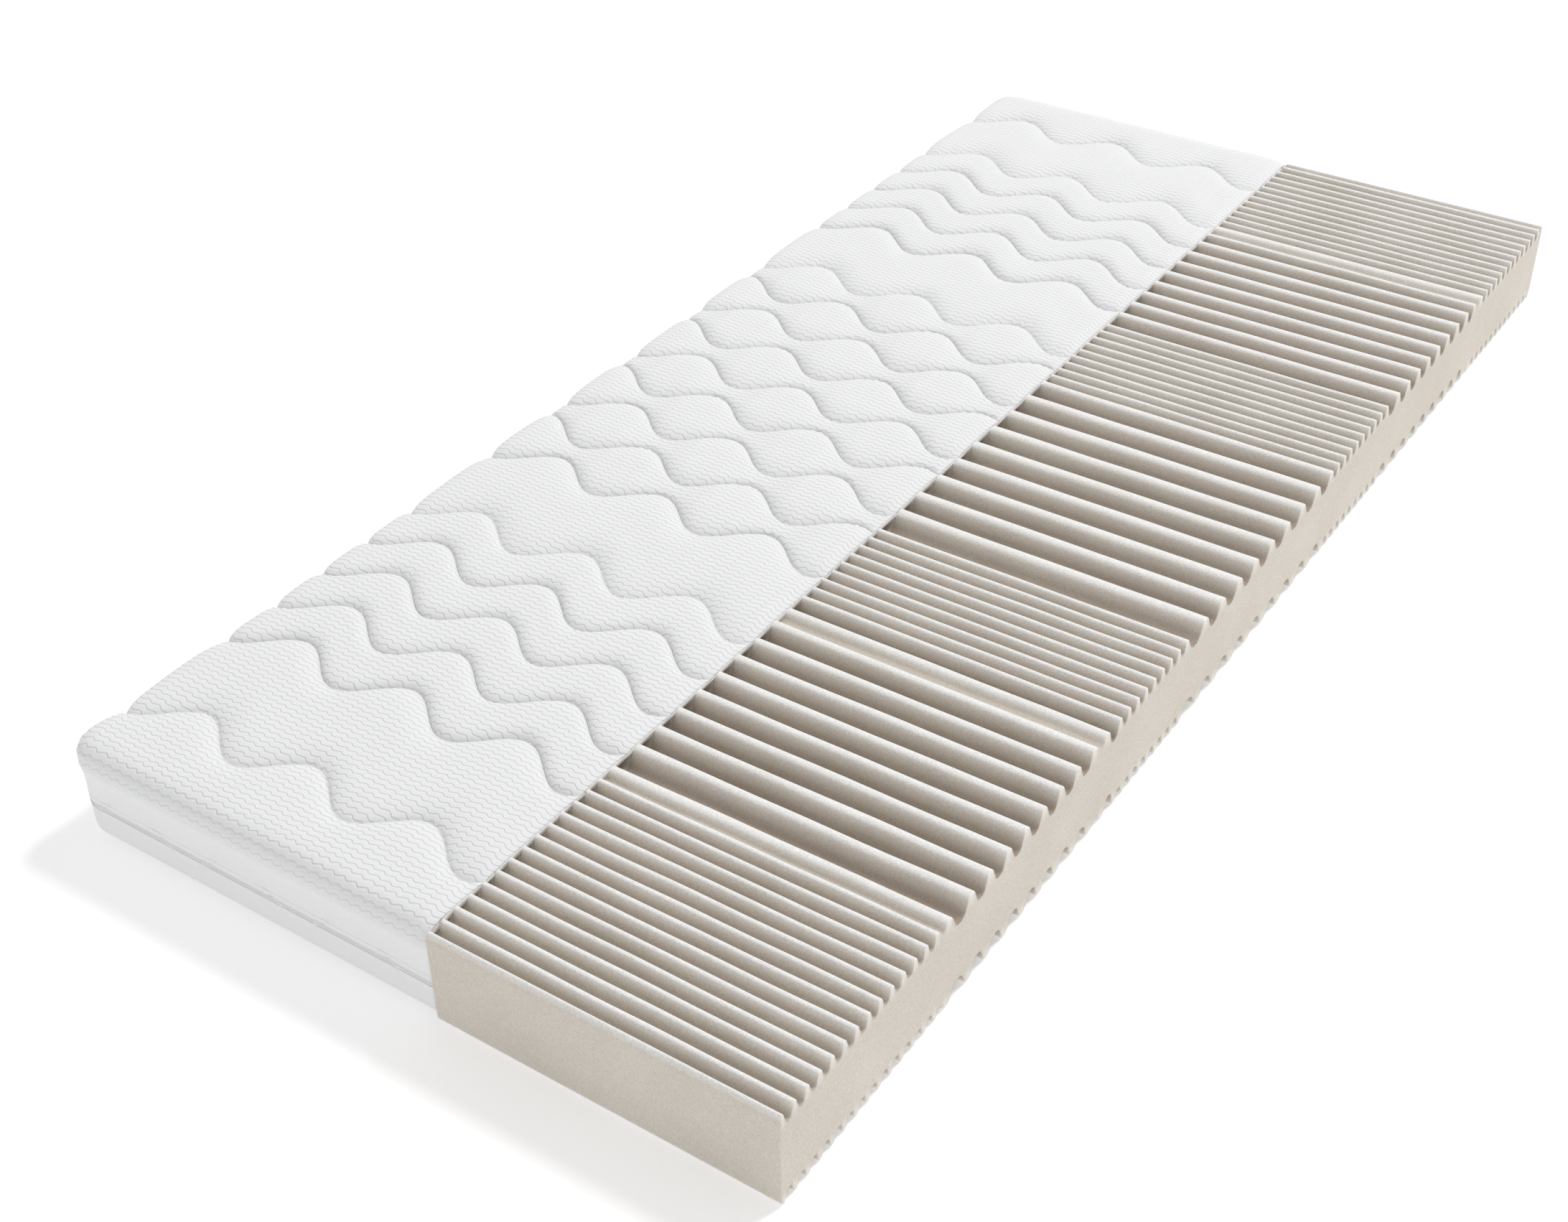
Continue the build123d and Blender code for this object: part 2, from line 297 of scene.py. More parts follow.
def cut_line():
    """The cut line with every corner rounded: an arc tangent to both sides of the corner, with a
    radius that uses most of the flat beside it. Returns points as (y, drop)."""
    corner = cut_corners()
    before = np.vstack([corner[:1] - [[END_RIB, 0]], corner[:-1]])
    after = np.vstack([corner[1:], corner[-1:] + [[END_RIB, 0]]])
    arrive, leave = corner - before, after - corner
    arrive_long, leave_long = np.linalg.norm(arrive, axis=1), np.linalg.norm(leave, axis=1)
    arrive, leave = arrive / arrive_long[:, None], leave / leave_long[:, None]
    cross = arrive[:, 0] * leave[:, 1] - arrive[:, 1] * leave[:, 0]
    turn = np.arctan2(np.abs(cross), (arrive * leave).sum(1))
    number = np.arange(len(corner)) % 4
    flat = np.where((number == 0) | (number == 2), arrive_long, leave_long)
    flat[[0, -1]] *= 0.45
    radius = ROUNDING * flat / 2 / np.tan(turn / 2)
    inward = np.sign(cross)[:, None] * np.stack([-arrive[:, 1], arrive[:, 0]], 1)
    angle = turn[:, None] * np.linspace(0, 1, ARC_STEPS)[None, :]
    begin = corner - arrive * (radius * np.tan(turn / 2))[:, None]
    sweep = np.sin(angle)[..., None] * arrive[:, None, :]
    sweep += (1 - np.cos(angle))[..., None] * inward[:, None, :]
    return (begin[:, None, :] + radius[:, None, None] * sweep).reshape(-1, 2)


def hold_inside(y, w, half_y, half_w, radius):
    """Moves points that lie outside a rounded rectangle in to its ends, then straight down (or up)
    to its edge, so their order along the outline stays as it was."""
    out_y = np.clip(np.abs(y) - (half_y - radius), 0, radius)
    top = half_w - radius + np.sqrt(radius**2 - out_y**2)
    return np.clip(y, -half_y, half_y), np.clip(w, -top, top)


def core_outline():
    """Half of the core's outline in the YZ plane, from the near end round the top to the far end,
    as (y, height above the middle). Each end rises to the first rib on a quarter ellipse. The other
    half is its mirror image."""
    half = HEIGHT / 2
    line = cut_line()
    turn = np.radians(np.linspace(0, 82, 10))
    end_w = half - END_RADIUS + END_RADIUS * np.sin(turn)
    near_y = -HALF_LENGTH + (line[0, 0] + HALF_LENGTH) * (1 - np.cos(turn))
    far_y = HALF_LENGTH - (HALF_LENGTH - line[-1, 0]) * (1 - np.cos(turn))
    top = np.stack([line[:, 0], half - line[:, 1]], 1)
    return np.vstack([np.stack([near_y, end_w], 1), top, np.stack([far_y, end_w], 1)[::-1]])


def build_core(settings):
    """Closed surface: the outline carried along X through stations, each held inside the rounded
    block at that X, with flat caps between matching top and bottom points. The depth mask is the
    distance below the ribs' tops, which the foam material turns into painted shade in the grooves and
    a painted highlight on the crests; on the end and side faces it runs from that painted highlight
    at the top edge to the foam's own tone a few millimetres down."""
    inner_left = LEFT + CORE_INSET
    bare = CUT + np.concatenate([[0.5, 0.75, 6], np.arange(30, 361, 30), [385]]) / 1000
    roll = np.radians([0, 25, 50, 72, 90])
    tip = RIGHT - settings.edge_round + settings.edge_round * np.sin(roll)
    shrink_tip = settings.edge_round * (1 - np.cos(roll))
    hidden = inner_left + np.array([0, 0.6, 2.5, 6, 11, 18, 30, 60, 120, 200, 280, 360, 440]) / 1000
    hidden = np.append(hidden, [CUT - 0.0008, CUT])
    stations = np.concatenate([hidden, bare, tip])
    shrink = np.concatenate([np.zeros(len(hidden) + len(bare)), shrink_tip])
    covered = stations <= CUT
    depth = stations - inner_left
    edge = EDGE_RADIUS - CORE_INSET
    corner = CORNER_RADIUS - CORE_INSET
    bare_edge = 0.003
    lose_w = edge - np.sqrt(np.maximum(edge**2 - np.maximum(edge - depth, 0) ** 2, 0))
    lose_y = corner - np.sqrt(np.maximum(corner**2 - np.maximum(corner - depth, 0) ** 2, 0))
    half_y = np.where(covered, HALF_LENGTH - CORE_INSET - lose_y, HALF_LENGTH)
    half_w = np.where(covered, HEIGHT / 2 - CORE_INSET - lose_w, HEIGHT / 2)
    radius = np.where(covered, edge, bare_edge)

    outline = core_outline()
    side_share = np.array([0, 0.008, 0.16, 0.33, 0.5, 0.67, 0.84, 0.992, 1])
    flat_w = outline[-1, 1] * (1 - 2 * side_share[1:-1])
    far_face = np.stack([np.full(7, HALF_LENGTH), flat_w], 1)
    loop = np.vstack([outline, far_face, outline[::-1] * [1, -1], far_face[::-1] * [-1, 1]])
    step = np.roll(loop, -1, 0) - np.roll(loop, 1, 0)
    normal = np.stack([step[:, 1], -step[:, 0]], 1)
    normal /= np.maximum(np.linalg.norm(normal, axis=1), 1e-9)[:, None]

    x = np.repeat(stations[:, None], len(loop), 1)
    y = np.repeat(loop[None, :, 0], len(stations), 0)
    w = np.repeat(loop[None, :, 1], len(stations), 0)
    wander = settings.wobble * (np.abs(y) < HALF_LENGTH - 0.02)
    y = y + wander * soft_noise(x, y * 3, 0.16, 11)
    w = w + wander * soft_noise(x * 1.3, y * 2, 0.21, 12) * (np.abs(w) < HEIGHT / 2 - 0.0015)
    y, w = hold_inside(y, w, half_y[:, None], half_w[:, None], radius[:, None])
    y = y + shrink[:, None] * normal[None, :, 0]
    w = w + shrink[:, None] * normal[None, :, 1]
    points = np.stack([x, y, w + HEIGHT / 2], -1)
    count = len(loop)
    ring = np.concatenate([points, points[:, :1]], 1)
    skin = grid_faces(len(stations), count + 1)
    blocks, faces, first = [ring.reshape(-1, 3)], [skin], ring.shape[0] * ring.shape[1]
    half = len(outline)
    for station in (0, -1):
        upper = points[station, :half]
        lower = points[station, half + 7:half + 7 + half][::-1]
        cap = upper[None] * (1 - side_share[:, None, None]) + lower[None] * side_share[:, None, None]
        blocks.append(cap.reshape(-1, 3))
        faces.append(grid_faces(len(side_share), half, first))
        first += cap.shape[0] * cap.shape[1]
    points = np.vstack(blocks)
    end_y = np.full(len(points), -1.0)
    end_y[:len(blocks[0])] = np.repeat(half_y, count + 1)
    top_w = np.repeat(half_w[[0, -1]], len(blocks[1]))
    top_w = np.concatenate([np.repeat(half_w, count + 1), top_w])
    # depth mask: drives the painted groove shade and painted crest highlight, and a painted highlight along
    # the top edge of the end and side faces
    depth = np.clip((top_w - np.abs(points[:, 2] - HEIGHT / 2)) / 0.020, 0, 1)
    face = np.clip((np.abs(points[:, 1]) - end_y + 0.006) / 0.003, 0, 1)
    depth = depth * (1 - face) + np.minimum(depth * 3, 1) * BODY_SHARE * face
    quads = np.vstack(faces)
    flat = np.arange(len(quads)) >= len(skin)
    return new_mesh("foam_core_ribbed", points, quads, masks={"depth": depth}, weld=0.00002, flat=flat)


# ---------------------------------------------------------------- cover
def quilt_rows():
    """Places of the stitched waves along the panel and the way each one swings."""
    numbers = np.arange(-LAST_ROW, LAST_ROW + 1)
    numbers = numbers[~np.isin(np.abs(numbers), PLAIN_ROWS)]
    swing = np.where(np.isin(np.abs(numbers), MIRRORED_ROWS), -1.0, 1.0)
    return numbers * QUILT_PITCH, swing


def quilt_warp(across, base):
    """Moves straight rows onto the waves: the swing is read between the stitched rows, times a
    cosine across the panel. Returns the moved place and the clear span between the rows there."""
    rows, swing = quilt_rows()
    still = HALF_LENGTH - CORNER_RADIUS
    rows = np.concatenate([[-still - 0.09, -still], rows, [still, still + 0.09]])
    swing = np.concatenate([[0, 0], swing, [0, 0]])
    wave = QUILT_SWING * np.cos(2 * np.pi * (across - QUILT_PEAK) / QUILT_PERIOD)
    moved = base + wave * np.interp(base, rows, swing)
    bounds = np.delete(rows, [1, -2])
    turns = np.delete(swing, [1, -2])
    slot = np.clip(np.searchsorted(bounds, base, side="right") - 1, 0, len(bounds) - 2)
    low = bounds[slot] + wave * turns[slot]
    high = bounds[slot + 1] + wave * turns[slot + 1]
    return moved, moved - low, high - moved


def wrap(across, along, face_drop):
    """Bends the flat panel down over the edges: beyond the corner centres a point goes its distance
    over a short flat, a quarter arc and then straight down the border. In the two corners the
    square of panel is squeezed into a quarter disc first. Returns place and outward direction."""
    line_x, line_y = LEFT + CORNER_RADIUS, HALF_LENGTH - CORNER_RADIUS
    flat, arc = CORNER_RADIUS - EDGE_RADIUS, EDGE_RADIUS * np.pi / 2
    reach = flat + arc + face_drop
    over_x = np.clip((line_x - across) / reach, 0, 1)
    over_y = np.clip((np.abs(along) - line_y) / reach, 0, 1)
    pull_x = over_x * np.sqrt(1 - over_y**2 / 2) * reach
    pull_y = over_y * np.sqrt(1 - over_x**2 / 2) * reach
    far = np.hypot(pull_x, pull_y)
    toward_x, toward_y = pull_x / np.maximum(far, 1e-9), pull_y / np.maximum(far, 1e-9)
    bend = np.clip((far - flat) / EDGE_RADIUS, 0, np.pi / 2)
    out = np.minimum(far, flat) + EDGE_RADIUS * np.sin(bend)
    down = EDGE_RADIUS * (1 - np.cos(bend)) + np.maximum(far - flat - arc, 0)
    side = np.sign(along)
    place = np.stack([
        np.maximum(across, line_x) - toward_x * out,
        side * (np.minimum(np.abs(along), line_y) + toward_y * out),
        -down,
    ], -1)
    outward = np.stack([-toward_x * np.sin(bend), side * toward_y * np.sin(bend), np.cos(bend)], -1)
    return place, outward, far - flat - arc


def panel_grid(drop, fine=True):
    """Base places of the panel's grid: rows crowd together beside each stitched row."""
    reach = CORNER_RADIUS - EDGE_RADIUS + EDGE_RADIUS * np.pi / 2 + drop
    end = HALF_LENGTH - CORNER_RADIUS + reach
    rows, _ = quilt_rows()
    rows = rows[np.abs(rows) < end - 0.004]
    stops = np.concatenate([[-end], rows, [end]])
    share = np.array([0, 0.012, 0.03, 0.06, 0.1, 0.16, 0.24, 0.33, 0.42])
    share = np.concatenate([share, [0.5], 1 - share[:0:-1]]) if fine else np.linspace(0, 0.8, 5)
    base = (stops[:-1, None] + np.diff(stops)[:, None] * share[None, :]).ravel()
    base = np.append(base, end)
    step = 0.0038 if fine else 0.012
    across = np.linspace(LEFT + CORNER_RADIUS - reach, CUT + CUT_REACH, int((CUT - LEFT + reach) / step))
    return np.meshgrid(across, base)


def quilt_height(settings, across, base, near, far, border):
    """Height of the quilted panel over its stitches. Between two rows it rises as one minus a power
    of the distance from the middle, so it leaves each row steeply and is round in the middle, with a
    narrow crease at the row itself. Small gathers ride beside the rows where the waves turn. All of
    it dies away over the edge and is pressed flatter beside the cut edge."""
    span = np.maximum(near + far, 1e-4)
    middle = np.abs(near - far) / span
    full = settings.crown * np.clip(span / QUILT_PITCH, 0.4, 1.25) ** 0.8
    height = full * (1 - middle**settings.fullness) * (1 + 0.10 * soft_noise(across, base, 0.11, 21))
    closest = np.minimum(near, far)
    phase = 2 * np.pi * (across - QUILT_PEAK) / QUILT_PERIOD
    turning = np.clip(np.cos(phase) * np.where(near < far, 1, -1), 0, 1) ** 1.5
    fold = np.sin(2 * np.pi * across / 0.0105 + 2.2 * soft_noise(across, base, 0.05, 22))
    gather = settings.pucker * fold * turning * np.exp(-((closest - 0.005) / 0.008) ** 2)
    gather += 0.35 * settings.pucker * soft_noise(across, base, 0.022, 23) * np.exp(-closest / 0.012)
    calm = np.clip((0.012 - border) / 0.034, 0, 1)
    calm = calm**2 * (3 - 2 * calm)
    free = np.clip((CUT - across) / 0.016, 0, 1)
    free = 0.3 + 0.7 * free**2 * (3 - 2 * free)
    crease = settings.crease * np.exp(-closest / 0.0017)
    return (height - settings.sink + gather - crease) * calm * free, calm


def cover_skin(settings, upper, across, base, drop):
    """Outer face of a cover half: place, outward direction, lift, the masks for knit rows and for
    the painted shade along stitched creases, and the panel coordinates. The underside is never
    lifted, so it lies flat between its stitches."""
    moved, near, far = quilt_warp(across, base)
    place, outward, border = wrap(across, moved, drop)
    lift, calm = quilt_height(settings, across, base, near, far, border)
    level = HEIGHT + place[..., 2] if upper else -place[..., 2]
    crease = TUCK_HEIGHT + QUILT_SWING * np.cos(2 * np.pi * (across - QUILT_PEAK) / QUILT_PERIOD)
    crease = np.exp(-((level - crease) / 0.0022) ** 2) * np.abs(outward[..., 1]) ** 4
    lift = lift - 0.0012 * crease * (1 - calm)
    if not upper:
        lift = np.minimum(lift, 0.0)
    masks = {
        "knit": np.clip((0.004 - border) / 0.016, 0, 1),
        # painted shade: the fabric is painted darker along the stitched creases
        "crease_shade": calm * np.exp(-np.minimum(near, far) / 0.0018),
    }
    return place, outward, lift, masks, np.stack([across, moved], -1)


def shell(name, top, bottom, uv, masks):
    """A closed shell between two grids of the same shape, joined round their rims."""
    rows, columns = top.shape[:2]
    number = np.arange(rows * columns).reshape(rows, columns)
    rim = np.concatenate([number[0], number[1:, -1], number[-1, -2::-1], number[-2:0:-1, 0]])
    after = np.roll(rim, -1)
    total = rows * columns
    outer = grid_faces(rows, columns)
    inner = grid_faces(rows, columns, total)[:, ::-1]
    wall = np.stack([rim, rim + total, after + total, after], 1)
    points = np.vstack([top.reshape(-1, 3), bottom.reshape(-1, 3)])
    uv = np.vstack([uv.reshape(-1, 2)] * 2)
    masks = {label: np.concatenate([values.ravel()] * 2) for label, values in masks.items()}
    quads = np.vstack([outer, inner, wall])
    return new_mesh(name, points, quads, uv, masks)


def stand_on(points, upper):
    """Places a panel, worked out with its face at height zero, on the upper or the under side."""
    points = points.copy()
    points[..., 2] = HEIGHT + points[..., 2] if upper else -points[..., 2]
    return points


def half_drop(upper):
    """Straight length of a cover half's border, below its rounded edge."""
    return (HEIGHT - upper_low.z if upper else lower_high.z) - EDGE_RADIUS


def build_cover_layer(settings, name, upper, top, bottom, fine):
    """One closed layer of a cover half. top and bottom are each an inset from the outer face and the
    share of the quilting that this face follows; the top stays at least a hair above the bottom."""
    drop = half_drop(upper)
    across, base = panel_grid(drop, fine)
    place, outward, lift, masks, panel = cover_skin(settings, upper, across, base, drop)
    low = lift * bottom[1] - bottom[0]
    high = np.maximum(lift * top[1] - top[0], low + 0.0001)
    outer = place + outward * high[..., None]
    inner = place + outward * low[..., None]
    obj = shell(name, stand_on(outer, upper), stand_on(inner, upper), panel, masks)
    merge_points(obj, 1e-7)
    return obj


# ---------------------------------------------------------------- stitching
def sewn_rows(name, path, outward, radius):
    """Rows of stitches as closed tubes from paths (rows, points, 3), four points to a stitch: a
    stitch swells and rises in its middle and dives into the cloth at both its ends."""
    rows, count = path.shape[:2]
    swell = np.abs(np.sin(np.pi * np.arange(count) / 4))
    size = radius * (0.45 + 0.55 * swell)
    size[[0, -1]] = 0
    along = np.gradient(path, axis=1)
    along /= np.linalg.norm(along, axis=-1, keepdims=True)
    sideways = np.cross(along, outward)
    turn = np.radians(np.linspace(0, 360, 6))[:, None]
    ring = sideways[:, :, None] * np.cos(turn) + outward[:, :, None] * np.sin(turn)
    centre = path + outward * (radius * (swell - 0.5))[None, :, None]
    points = centre[:, :, None] + ring * size[None, :, None, None]
    step = (np.arange(rows) * count * 6)[:, None, None]
    quads = (grid_faces(count, 6)[None] + step).reshape(-1, 4)
    return new_mesh(name, points.reshape(-1, 3), quads, weld=1e-6)


def quilt_stitches(settings, name, upper):
    """The stitched waves of one panel, lying in its sunk lines."""
    rows, _ = quilt_rows()
    across, base = np.meshgrid(np.arange(LEFT + EDGE_RADIUS, CUT, STITCH / 4), rows)
    place, outward, lift, _, _ = cover_skin(settings, upper, across, base, half_drop(upper))
    path = stand_on(place + outward * lift[..., None], upper)
    if not upper:
        outward = outward * [1, 1, -1]
    return sewn_rows(name, path, outward, THREAD)


def side_stitches(name, levels):
    """Rows of stitches round the cover's side at the given heights, following its rounded outline:
    a straight near side, a quarter turn, the long left side, a quarter turn and the far side."""
    side, turn = CUT - LEFT - CORNER_RADIUS, CORNER_RADIUS * math.pi / 2
    long = 2 * (HALF_LENGTH - CORNER_RADIUS)
    run = np.arange(0, 2 * side + 2 * turn + long, STITCH / 4)
    angle = (np.clip(run - side, 0, turn) + np.clip(run - side - turn - long, 0, turn)) / CORNER_RADIUS
    first, last = np.minimum(run, side), np.maximum(run - side - 2 * turn - long, 0)
    x = CUT - first + last - CORNER_RADIUS * np.sin(angle)
    y = -HALF_LENGTH + CORNER_RADIUS * (1 - np.cos(angle)) + np.clip(run - side - turn, 0, long)
    outward = np.stack([-np.sin(angle), -np.cos(angle), np.zeros_like(run)], -1)
    path = np.stack([x, y, np.zeros_like(run)], -1)[None] + np.array(levels)[:, None, None] * [0, 0, 1]
    return sewn_rows(name, path, np.repeat(outward[None], len(levels), 0), THREAD)


def corner_stitches(name, low, high):
    """The sewn darts: an upright row of stitches at the middle of both rounded corners."""
    z = np.arange(low, high, STITCH / 4)
    reach = CORNER_RADIUS * (1 - math.cos(math.pi / 4))
    ends = np.array([-1.0, 1.0])[:, None]
    place = np.broadcast_arrays(LEFT + reach, ends * (HALF_LENGTH - reach), z[None])
    outward = np.broadcast_arrays(-math.sqrt(0.5), ends * math.sqrt(0.5), 0 * z[None])
    return sewn_rows(name, np.stack(place, -1), np.stack(outward, -1), THREAD)


# ---------------------------------------------------------------- node helpers
def new_material(name):
    """An empty node material with its shader and output in place."""
    material = bpy.data.materials.new(name)
    material.use_nodes = True
    tree = material.node_tree
    tree.nodes.clear()
    out = tree.nodes.new("ShaderNodeOutputMaterial")
    shader = tree.nodes.new("ShaderNodeBsdfPrincipled")
    tree.links.new(shader.outputs["BSDF"], out.inputs["Surface"])
    return material, tree, shader


def node(tree, kind, inputs=None, **settings):
    """A node with its settings and its inputs given as values or sockets."""
    made = tree.nodes.new(kind)
    for key, value in settings.items():
        setattr(made, key, value)
    for key, value in (inputs or {}).items():
        if isinstance(value, bpy.types.NodeSocket):
            tree.links.new(value, made.inputs[key])
        else:
            made.inputs[key].default_value = value
    return made


def calc(tree, operation, *values):
    """The result socket of a Math node."""
    return node(tree, "ShaderNodeMath", dict(enumerate(values)), operation=operation).outputs[0]


def new_group(name, inputs, outputs):
    """An empty node group with float or vector inputs and outputs."""
    group = bpy.data.node_groups.new(name, "ShaderNodeTree")
    for label, kind, value in inputs:
        socket = group.interface.new_socket(label, in_out="INPUT", socket_type=kind)
        if value is not None:
            socket.default_value = value
    for label, kind in outputs:
        group.interface.new_socket(label, in_out="OUTPUT", socket_type=kind)
    start, end = group.nodes.new("NodeGroupInput"), group.nodes.new("NodeGroupOutput")
    return group, start.outputs, end.inputs


def place_group(tree, group, inputs):
    """A node group placed in a material with its own values."""
    return node(tree, "ShaderNodeGroup", inputs, node_tree=group).outputs


def shaded(tree, colour, shade):
    """The socket of a colour multiplied by a shade."""
    mix = node(
        tree, "ShaderNodeMix", {"Factor": 1.0, "A": colour, "B": shade},
        data_type="RGBA", blend_type="MULTIPLY",
    )
    return mix.outputs["Result"]


# ---------------------------------------------------------------- shared surface effects
def knit_rows_group():
    """Knitted rows: a thin groove every pitch, carried on a rounded zigzag across the panel."""
    group, given, result = new_group(
        "knit_rows",
        [("Panel", "NodeSocketVector", None), ("Pitch", "NodeSocketFloat", 0.008),
         ("Wave", "NodeSocketFloat", 0.0145), ("Swing", "NodeSocketFloat", 0.0016)],
        [("Height", "NodeSocketFloat"), ("Groove", "NodeSocketFloat")],
    )
    split = node(group, "ShaderNodeSeparateXYZ", {0: given["Panel"]}).outputs
    drift = node(
        group, "ShaderNodeTexNoise", {"Vector": given["Panel"], "Scale": 26.0, "Detail": 1.0}
    ).outputs["Fac"]
    turn = calc(group, "MULTIPLY", calc(group, "DIVIDE", split["X"], given["Wave"]), 2 * math.pi)
    turn = calc(group, "ADD", turn, calc(group, "MULTIPLY", drift, 3.0))
    wave = calc(group, "SINE", turn)
    third = calc(group, "MULTIPLY", calc(group, "SINE", calc(group, "MULTIPLY", turn, 2.0)), 0.22)
    wave = calc(group, "MULTIPLY", calc(group, "ADD", wave, third), given["Swing"])
    row = calc(group, "DIVIDE", calc(group, "ADD", split["Y"], wave), given["Pitch"])
    off = calc(group, "SUBTRACT", calc(group, "FRACT", row), 0.5)
    off = calc(group, "DIVIDE", off, 0.10)
    groove = calc(group, "EXPONENT", calc(group, "MULTIPLY", calc(group, "MULTIPLY", off, off), -1.0))
    group.links.new(groove, result["Groove"])
    slope = calc(group, "MULTIPLY", calc(group, "FRACT", row), 0.35)
    group.links.new(calc(group, "SUBTRACT", slope, groove), result["Height"])
    return group


def fibre_group():
    """Fine fibre grain: two sizes of noise added together, as height and as a small shade change."""
    group, given, result = new_group(
        "fibre_grain",
        [("Vector", "NodeSocketVector", None), ("Scale", "NodeSocketFloat", 900.0)],
        [("Height", "NodeSocketFloat"), ("Shade", "NodeSocketFloat")],
    )
    fine = node(
        group, "ShaderNodeTexNoise",
        {"Vector": given["Vector"], "Scale": given["Scale"], "Detail": 2.0},
    )
    broad = node(
        group, "ShaderNodeTexNoise",
        {"Vector": given["Vector"], "Scale": calc(group, "MULTIPLY", given["Scale"], 0.22), "Detail": 2.0},
    )
    both = calc(group, "ADD", calc(group, "MULTIPLY", fine.outputs["Fac"], 0.6),
                calc(group, "MULTIPLY", broad.outputs["Fac"], 0.4))
    group.links.new(both, result["Height"])
    group.links.new(calc(group, "MULTIPLY_ADD", both, 0.16, 0.92), result["Shade"])
    return group


def foam_cells_group():
    """Open foam cells: small round pits of two sizes with a little grain between them."""
    group, given, result = new_group(
        "foam_cells",
        [("Vector", "NodeSocketVector", None), ("Cells", "NodeSocketFloat", 620.0)],
        [("Height", "NodeSocketFloat"), ("Shade", "NodeSocketFloat")],
    )
    small = node(group, "ShaderNodeTexVoronoi", {"Vector": given["Vector"], "Scale": given["Cells"]})
    large = node(
        group, "ShaderNodeTexVoronoi",
        {"Vector": given["Vector"], "Scale": calc(group, "MULTIPLY", given["Cells"], 0.4)},
    )
    grain = node(
        group, "ShaderNodeTexNoise",
        {"Vector": given["Vector"], "Scale": calc(group, "MULTIPLY", given["Cells"], 0.8), "Detail": 3.0},
    ).outputs["Fac"]
    pits = calc(group, "ADD", calc(group, "MULTIPLY", small.outputs["Distance"], 0.6),
                calc(group, "MULTIPLY", large.outputs["Distance"], 0.35))
    height = calc(group, "ADD", pits, calc(group, "MULTIPLY", grain, 0.5))
    group.links.new(height, result["Height"])
    shade = calc(group, "ADD", calc(group, "MULTIPLY", grain, 0.45), calc(group, "MULTIPLY", pits, 0.25))
    group.links.new(calc(group, "MULTIPLY_ADD", shade, 0.8, 0.72), result["Shade"])
    return group


def foam_material(settings, cells):
    """Cut foam with open cells, with painted shade darkening the grooves and a painted highlight along the
    crests.
    """
    material, tree, shader = new_material("cut_foam")
    place = node(tree, "ShaderNodeTexCoord").outputs["Object"]
    made = place_group(tree, cells, {"Vector": place, "Cells": 620.0})
    # the depth mask picks painted shade down the grooves and a painted highlight on the crests and top
    # edges
    depth = node(tree, "ShaderNodeAttribute", attribute_name="depth").outputs["Fac"]
    blotch = node(tree, "ShaderNodeTexNoise", {"Vector": place, "Scale": 9.0, "Detail": 3.0}).outputs["Fac"]
    level = calc(tree, "ADD", depth, calc(tree, "MULTIPLY_ADD", blotch, 0.2, -0.1))
    tint = node(tree, "ShaderNodeValToRGB", {"Fac": level})
    ramp = tint.color_ramp
    ramp.elements[0].color = (*settings.painted_crest_highlight, 1)
    ramp.elements[1].color = (*settings.painted_groove_shade, 1)
    ramp.elements.new(BODY_SHARE).color = (*settings.tone, 1)
    crest_highlight_blend = [0.6 * a + 0.4 * b for a, b in zip(settings.tone, settings.painted_crest_highlight)]
    ramp.elements.new(BODY_SHARE * 0.6).color = (*crest_highlight_blend, 1)
    tree.links.new(shaded(tree, tint.outputs["Color"], made["Shade"]), shader.inputs["Base Color"])
    shader.inputs["Roughness"].default_value = 0.92
    shader.inputs["Specular IOR Level"].default_value = 0.2
    bump = node(tree, "ShaderNodeBump", {"Height": made["Height"], "Strength": 0.5, "Distance": 0.0008})
    tree.links.new(bump.outputs["Normal"], shader.inputs["Normal"])
    return material


def knit_material(settings, rows, fibre, name, row_depth):
    """Knitted cover: waved rows pressed into soft fabric, which fade out down the border, with painted
    shade darkening the row grooves and a slightly darker line of painted shade along the stitched creases."""
    material, tree, shader = new_material(name)
    panel = node(tree, "ShaderNodeUVMap", uv_map="surface").outputs["UV"]
    place = node(tree, "ShaderNodeTexCoord").outputs["Object"]
    knit = place_group(tree, rows, {
        "Panel": panel, "Pitch": settings.row_pitch, "Wave": settings.row_wave, "Swing": 0.0012,
    })
    grain = place_group(tree, fibre, {"Vector": place, "Scale": 1100.0})
    keep = node(tree, "ShaderNodeAttribute", attribute_name="knit").outputs["Fac"]
    # painted shade along the stitched creases
    crease_shade = node(tree, "ShaderNodeAttribute", attribute_name="crease_shade").outputs["Fac"]
    shadow = calc(tree, "MULTIPLY_ADD", crease_shade, -0.14, 1.0)
    groove = calc(tree, "MULTIPLY", knit["Groove"], keep)
    # painted shade: the knit row grooves are mixed toward a darker copy of the cover tone
    tone = node(tree, "ShaderNodeMix", data_type="RGBA")
    tone.inputs["A"].default_value = (*settings.tone, 1)
    tone.inputs["B"].default_value = (*[c * 0.84 for c in settings.tone], 1)
    tree.links.new(calc(tree, "MULTIPLY", groove, 0.8), tone.inputs["Factor"])
    shade = calc(tree, "MULTIPLY", grain["Shade"], shadow)
    tree.links.new(shaded(tree, tone.outputs["Result"], shade), shader.inputs["Base Color"])
    shader.inputs["Roughness"].default_value = 0.9
    shader.inputs["Specular IOR Level"].default_value = 0.15
    shader.inputs["Sheen Weight"].default_value = 0.15
    height = calc(tree, "ADD", calc(tree, "MULTIPLY", knit["Height"], keep),
                  calc(tree, "MULTIPLY", grain["Height"], 0.35))
    bump = node(tree, "ShaderNodeBump", {"Height": height, "Strength": 0.9, "Distance": row_depth})
    tree.links.new(bump.outputs["Normal"], shader.inputs["Normal"])
    return material


